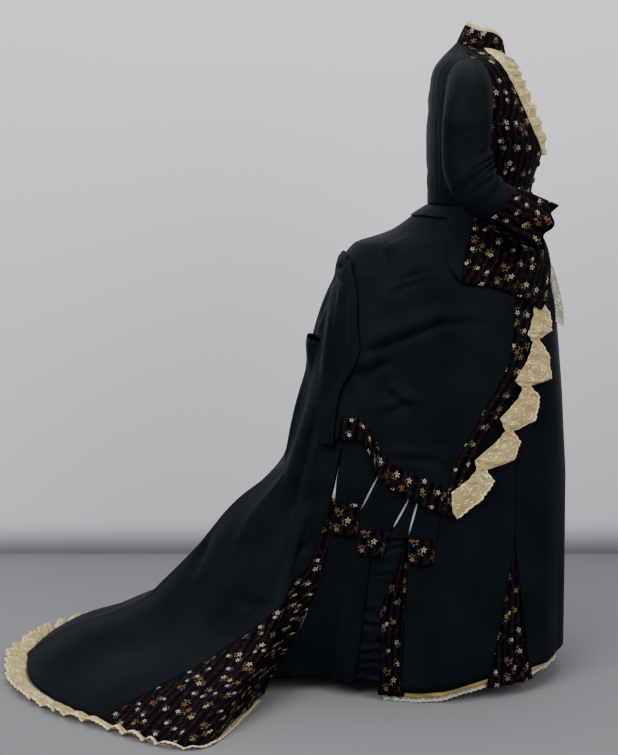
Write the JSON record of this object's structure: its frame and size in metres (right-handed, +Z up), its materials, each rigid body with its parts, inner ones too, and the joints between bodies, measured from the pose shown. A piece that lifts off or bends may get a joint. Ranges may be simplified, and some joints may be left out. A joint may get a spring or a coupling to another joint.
{
  "type": "bustle dress with train",
  "caption": "Hollow worn bustle dress: high-collared long-sleeved bodice with basque, looped hip drapery, tabbed flounce, back fall and lace-edged train.",
  "frame": {"origin": "midway between the shoulders, at the height where they carry the dress", "axes": "+Z up, the dress faces -Y, +X towards the wearer's left"},
  "size_m": [1.148, 1.2742, 1.4311],
  "materials": {
    "black_silk_satin": "black silk satin with a soft blue-green sheen",
    "flowered_velvet": "black voided velvet with small flower sprigs",
    "cream_lace": "gathered cream lace",
    "white_lace": "fine off-white lace",
    "pale_blue_silk": "pale blue silk lining",
    "gold_silk": "gold silk hem facing"
  },
  "bodies": {
    "root": {"back_fall": "black_silk_satin", "bodice_back_left": "black_silk_satin", "bodice_back_right": "black_silk_satin", "bodice_front_left": "flowered_velvet", "bodice_front_right": "flowered_velvet", "button_1": "flowered_velvet", "button_2": "flowered_velvet", "button_3": "flowered_velvet", "collar": "flowered_velvet", "collar_frill": "white_lace", "cuff_left": "flowered_velvet", "cuff_right": "flowered_velvet", "flounce_lining_left": "pale_blue_silk", "flounce_lining_right": "pale_blue_silk", "flounce_tab_back_left": "black_silk_satin", "flounce_tab_back_right": "black_silk_satin", "flounce_tab_front_left": "black_silk_satin", "flounce_tab_front_right": "black_silk_satin", "flounce_tab_middle_left": "black_silk_satin", "flounce_tab_middle_right": "black_silk_satin", "flounce_tab_slim_left": "black_silk_satin", "flounce_tab_slim_right": "black_silk_satin", "front_band_left": "flowered_velvet", "front_band_right": "flowered_velvet", "front_godet_left": "flowered_velvet", "front_godet_right": "flowered_velvet", "front_streamers": "white_lace", "hem_band_left": "flowered_velvet", "hem_band_right": "flowered_velvet", "hem_facing": "gold_silk", "hem_lace": "white_lace", "hip_drape_left": "black_silk_satin", "hip_drape_right": "black_silk_satin", "jabot_left": "cream_lace", "jabot_right": "cream_lace", "kick_godet_left": "flowered_velvet", "kick_godet_right": "flowered_velvet", "lace_cascade_left": "cream_lace", "lace_cascade_right": "cream_lace", "side_back_left": "black_silk_satin", "side_back_right": "black_silk_satin", "side_gathers_left": "black_silk_satin", "side_gathers_right": "black_silk_satin", "sleeve_outer_left": "black_silk_satin", "sleeve_under_left": "black_silk_satin", "sleeve_outer_right": "black_silk_satin", "sleeve_under_right": "black_silk_satin", "tab_velvet_back_left": "flowered_velvet", "tab_velvet_back_right": "flowered_velvet", "tab_velvet_front_left": "flowered_velvet", "tab_velvet_front_right": "flowered_velvet", "tab_velvet_middle_left": "flowered_velvet", "tab_velvet_middle_right": "flowered_velvet", "train": "black_silk_satin", "train_inset_left": "flowered_velvet", "train_inset_right": "flowered_velvet", "train_ruffle": "cream_lace", "underskirt_front": "black_silk_satin", "underskirt_side_left": "black_silk_satin", "underskirt_side_right": "black_silk_satin"}
  },
  "joints": []
}
